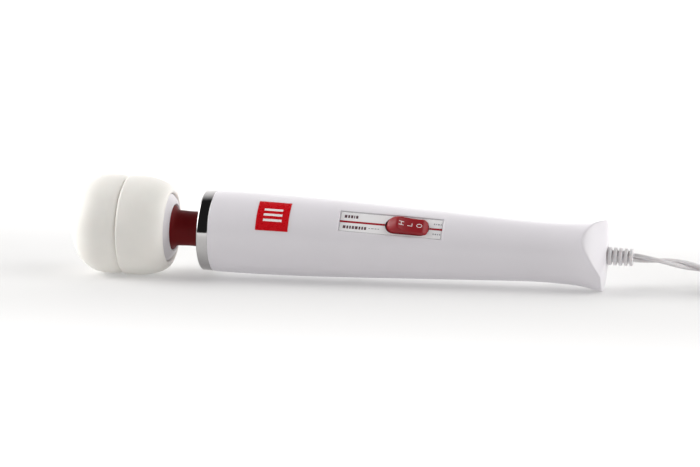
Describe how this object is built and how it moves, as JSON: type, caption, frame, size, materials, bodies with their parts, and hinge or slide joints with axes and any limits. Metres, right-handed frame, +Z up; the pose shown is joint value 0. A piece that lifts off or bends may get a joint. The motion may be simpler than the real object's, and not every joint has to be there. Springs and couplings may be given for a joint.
{
  "type": "handheld wand massager",
  "caption": "Corded wand massager with a cushioned round head on a flexible neck, a tapered handle with a rocker switch, and a mains lead with a plug.",
  "frame": {"origin": "on the table, below the middle of the wand without its cord", "axes": "+X from the head to the tail, +Z up, the switch side turned towards -Y and up; the wand lies on its head and its tail's lower edge"},
  "size_m": [0.4813, 0.0819, 0.0601],
  "materials": {
    "head_vinyl": "satin",
    "core_plastic": "matte",
    "hub_plastic": "satin",
    "zinc_screw": "satin",
    "bearing_steel": "polished",
    "shaft_steel": "ground",
    "weight_iron": "machined",
    "neck_rubber": "satin",
    "spring_steel": "drawn wire",
    "coupling_rubber": "matte",
    "ring_chrome": "polished",
    "shell_plastic": "satin",
    "clamp_plastic": "matte",
    "mount_rubber": "matte",
    "motor_steel": "zinc plated",
    "magnet_ferrite": "ground",
    "bell_plastic": "moulded",
    "sintered_bronze": "sintered",
    "lamination_steel": "stacked",
    "winding_copper": "enamelled wire",
    "commutator_copper": "turned",
    "brush_brass": "stamped",
    "brush_carbon": "pressed",
    "board_laminate": "solder mask",
    "diode_black": "moulded",
    "capacitor_sleeve": "sleeved",
    "switch_plastic": "moulded",
    "rocker_plastic": "polished",
    "label_film": "printed film",
    "badge_film": "printed film",
    "lead_vinyl": "satin",
    "relief_vinyl": "satin",
    "cord_vinyl": "satin",
    "tie_vinyl": "satin",
    "plug_vinyl": "satin",
    "blade_brass": "nickel plated"
  },
  "bodies": {
    "handle": {"chrome_ring": "ring_chrome", "nose_cap": "shell_plastic", "boot_clamp": "clamp_plastic", "clamp_screws": "zinc_screw", "handle_front": "shell_plastic", "handle_back": "shell_plastic", "handle_screws": "zinc_screw", "front_motor_mount": "mount_rubber", "rear_motor_mount": "mount_rubber", "motor_can": "motor_steel", "field_magnets": "magnet_ferrite", "motor_end_bell": "bell_plastic", "motor_bushes": "sintered_bronze", "brush_holders": "brush_brass", "carbon_brushes": "brush_carbon", "circuit_board": "board_laminate", "rectifier_diodes": "diode_black", "smoothing_capacitor": "capacitor_sleeve", "switch_frame": "switch_plastic", "switch_terminals": "brush_brass", "label_panel": "label_film", "badge": "badge_film", "inner_leads": "lead_vinyl", "cord_clamp": "clamp_plastic", "cord_clamp_screws": "zinc_screw", "strain_relief": "relief_vinyl", "cord_lead": "cord_vinyl", "cord_coil": "cord_vinyl", "cord_tie": "tie_vinyl", "plug_lead": "cord_vinyl", "power_plug": "plug_vinyl", "plug_blades": "blade_brass"},
    "neck": {"neck_boot": "neck_rubber", "neck_spring": "spring_steel"},
    "head": {"head_cover": "head_vinyl", "head_core": "core_plastic", "head_hub": "hub_plastic", "hub_screws": "zinc_screw", "front_bearing": "bearing_steel", "rear_bearing": "bearing_steel"},
    "eccentric": {"eccentric_shaft": "shaft_steel", "eccentric_weight": "weight_iron"},
    "rotor": {"motor_shaft": "shaft_steel", "armature": "lamination_steel", "armature_winding": "winding_copper", "commutator": "commutator_copper", "drive_coupling": "coupling_rubber"},
    "rocker": {"rocker": "rocker_plastic"}
  },
  "joints": [
    {"name": "rocker_press", "type": "hinge", "parent": "handle", "child": "rocker", "pos_m": [0.0371, -0.01122, 0.03323], "axis": [-0.0253, -0.6157, -0.7876], "range_deg": [0, 22]},
    {"name": "neck_pitch", "type": "hinge", "parent": "handle", "child": "neck", "pos_m": [-0.09238, 0, 0.02861], "axis": [0, 1, 0], "range_deg": [-8, 8], "stiffness_Nm_per_rad": 8, "deforming": ["neck_boot", "neck_spring", "drive_coupling"]},
    {"name": "neck_yaw", "type": "hinge", "parent": "neck", "child": "head", "pos_m": [-0.10138, 0, 0.0289], "axis": [0.032, 0, 0.9995], "range_deg": [-8, 8], "stiffness_Nm_per_rad": 8, "deforming": ["neck_boot", "neck_spring", "drive_coupling"]},
    {"name": "motor_spin", "type": "hinge", "parent": "handle", "child": "rotor", "pos_m": [-0.03841, 0, 0.02688], "axis": [0.9995, 0, -0.032], "continuous": true},
    {"name": "eccentric_spin", "type": "hinge", "parent": "head", "child": "eccentric", "pos_m": [-0.13436, 0, 0.02996], "axis": [0.9995, 0, -0.032], "continuous": true}
  ],
  "couplings": [
    {"joint": "eccentric_spin", "follows": "motor_spin", "ratio": 1}
  ]
}
